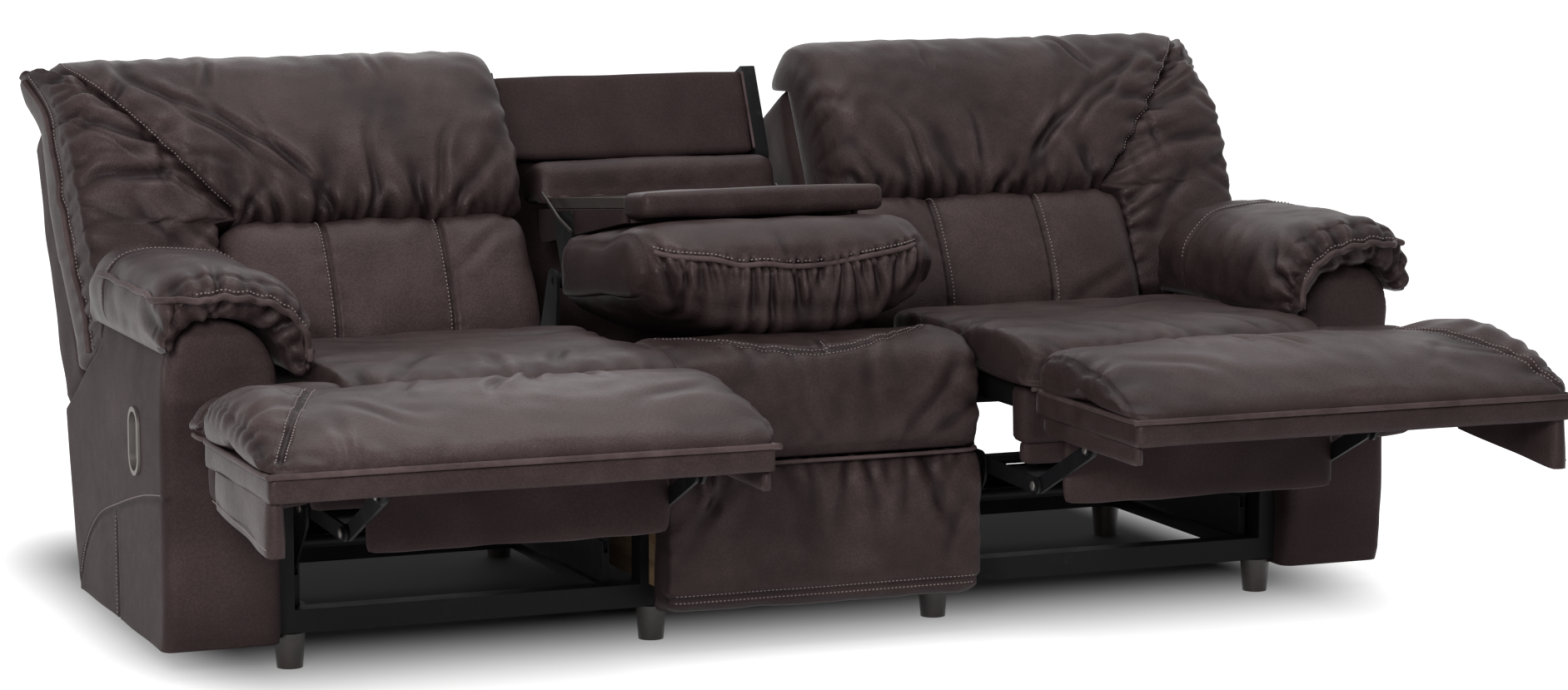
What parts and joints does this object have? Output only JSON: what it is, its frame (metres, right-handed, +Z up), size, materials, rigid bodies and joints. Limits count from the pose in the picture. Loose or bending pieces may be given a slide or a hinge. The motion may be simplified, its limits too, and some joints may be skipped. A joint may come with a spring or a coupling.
{
  "type": "reclining sofa with fold-down console",
  "caption": "Three-place reclining sofa whose centre back folds down into a console table; outer seats slide, recline and carry folding footrests.",
  "frame": {"origin": "on the floor under the middle of the bounding box", "axes": "front faces -Y, +X to the viewer's right seen from the front, +Z up"},
  "size_m": [2.381, 1.6857, 0.9619],
  "materials": {
    "upholstery": "soft matte grain",
    "steel": "satin black",
    "plywood": "raw",
    "feet": "dark stain",
    "plastic": "matte"
  },
  "bodies": {
    "base": {"front_feet": "feet", "rear_feet": "feet", "cross_rails": "steel", "side_rails": "steel", "slide_channels": "steel", "front_posts": "steel", "centre_box": "plywood", "centre_seat_cushion": "upholstery", "centre_front_panel": "upholstery", "rear_posts": "upholstery", "rear_panel": "upholstery", "outside_back": "upholstery", "console_brackets": "steel", "right_arm": "upholstery", "right_arm_pad": "upholstery", "right_release_bezel": "plastic", "left_arm": "upholstery", "left_arm_pad": "upholstery", "left_release_bezel": "plastic"},
    "console": {"console_plates": "steel", "console_stays": "steel", "console_box": "upholstery", "console_tray": "plastic", "console_slab": "upholstery", "console_bolster": "upholstery", "console_cushion": "upholstery"},
    "right_seat": {"right_seat_side_plates": "steel", "right_seat_cross_tubes": "steel", "right_seat_frame": "plywood", "right_seat_front_rail": "upholstery", "right_seat_cushion": "upholstery"},
    "right_back": {"right_back_shell": "upholstery", "right_back_brackets": "steel", "right_headrest_pillow": "upholstery", "right_lumbar_pad": "upholstery", "right_back_side_pad": "upholstery"},
    "right_rear_link": {"right_link_a": "steel"},
    "right_front_link": {"right_link_b": "steel", "right_flipper_panel": "upholstery"},
    "right_footrest": {"right_footrest_board": "upholstery", "right_footrest_pad": "upholstery", "right_footrest_wings": "upholstery"},
    "right_release": {"right_release_paddle": "plastic"},
    "left_seat": {"left_seat_side_plates": "steel", "left_seat_cross_tubes": "steel", "left_seat_frame": "plywood", "left_seat_front_rail": "upholstery", "left_seat_cushion": "upholstery"},
    "left_back": {"left_back_shell": "upholstery", "left_back_brackets": "steel", "left_headrest_pillow": "upholstery", "left_lumbar_pad": "upholstery", "left_back_side_pad": "upholstery"},
    "left_rear_link": {"left_link_a": "steel"},
    "left_front_link": {"left_link_b": "steel", "left_flipper_panel": "upholstery"},
    "left_footrest": {"left_footrest_board": "upholstery", "left_footrest_pad": "upholstery", "left_footrest_wings": "upholstery"},
    "left_release": {"left_release_paddle": "plastic"}
  },
  "joints": [
    {"name": "right_seat_slide", "type": "slide", "parent": "base", "child": "right_seat", "axis": [0, 1, 0], "range_m": [0, 0.1]},
    {"name": "right_back_recline", "type": "hinge", "parent": "right_seat", "child": "right_back", "pos_m": [0.618, 0.418, 0.29], "axis": [1, 0, 0], "range_deg": [0, 14]},
    {"name": "right_footrest_fold", "type": "hinge", "parent": "right_front_link", "child": "right_footrest", "pos_m": [0.618, -0.587, 0.362], "axis": [1, 0, 0], "range_deg": [0, 133.99]},
    {"name": "right_rear_link_swing", "type": "hinge", "parent": "right_seat", "child": "right_rear_link", "pos_m": [0.618, -0.165, 0.275], "axis": [1, 0, 0], "range_deg": [0, 43.43]},
    {"name": "right_front_link_swing", "type": "hinge", "parent": "right_rear_link", "child": "right_front_link", "pos_m": [0.618, -0.384, 0.268], "axis": [1, 0, 0], "range_deg": [-87.43, 0]},
    {"name": "right_release_pull", "type": "hinge", "parent": "base", "child": "right_release", "pos_m": [1.129, -0.033, 0.38], "axis": [0, 0, -1], "range_deg": [0, 25], "stiffness_Nm_per_rad": 0.5, "springref_deg": -11.46},
    {"name": "left_seat_slide", "type": "slide", "parent": "base", "child": "left_seat", "axis": [0, 1, 0], "range_m": [0, 0.1]},
    {"name": "left_back_recline", "type": "hinge", "parent": "left_seat", "child": "left_back", "pos_m": [-0.618, 0.418, 0.29], "axis": [1, 0, 0], "range_deg": [0, 14]},
    {"name": "left_footrest_fold", "type": "hinge", "parent": "left_front_link", "child": "left_footrest", "pos_m": [-0.618, -0.587, 0.362], "axis": [1, 0, 0], "range_deg": [0, 133.99]},
    {"name": "left_rear_link_swing", "type": "hinge", "parent": "left_seat", "child": "left_rear_link", "pos_m": [-0.618, -0.165, 0.275], "axis": [1, 0, 0], "range_deg": [0, 43.43]},
    {"name": "left_front_link_swing", "type": "hinge", "parent": "left_rear_link", "child": "left_front_link", "pos_m": [-0.618, -0.384, 0.268], "axis": [1, 0, 0], "range_deg": [-87.43, 0]},
    {"name": "left_release_pull", "type": "hinge", "parent": "base", "child": "left_release", "pos_m": [-1.129, -0.033, 0.38], "axis": [0, 0, 1], "range_deg": [0, 25], "stiffness_Nm_per_rad": 0.5, "springref_deg": -11.46},
    {"name": "console_fold", "type": "hinge", "parent": "base", "child": "console", "pos_m": [0, 0.401, 0.564], "axis": [-1, 0, 0], "range_deg": [0, 109.5]}
  ],
  "couplings": [
    {"joint": "right_back_recline", "follows": "right_seat_slide", "rad_per_m": 2.4434},
    {"joint": "right_rear_link_swing", "follows": "right_footrest_fold", "ratio": 0.32408},
    {"joint": "right_front_link_swing", "follows": "right_footrest_fold", "ratio": -0.6524},
    {"joint": "left_back_recline", "follows": "left_seat_slide", "rad_per_m": 2.4434},
    {"joint": "left_rear_link_swing", "follows": "left_footrest_fold", "ratio": 0.32408},
    {"joint": "left_front_link_swing", "follows": "left_footrest_fold", "ratio": -0.6524}
  ]
}
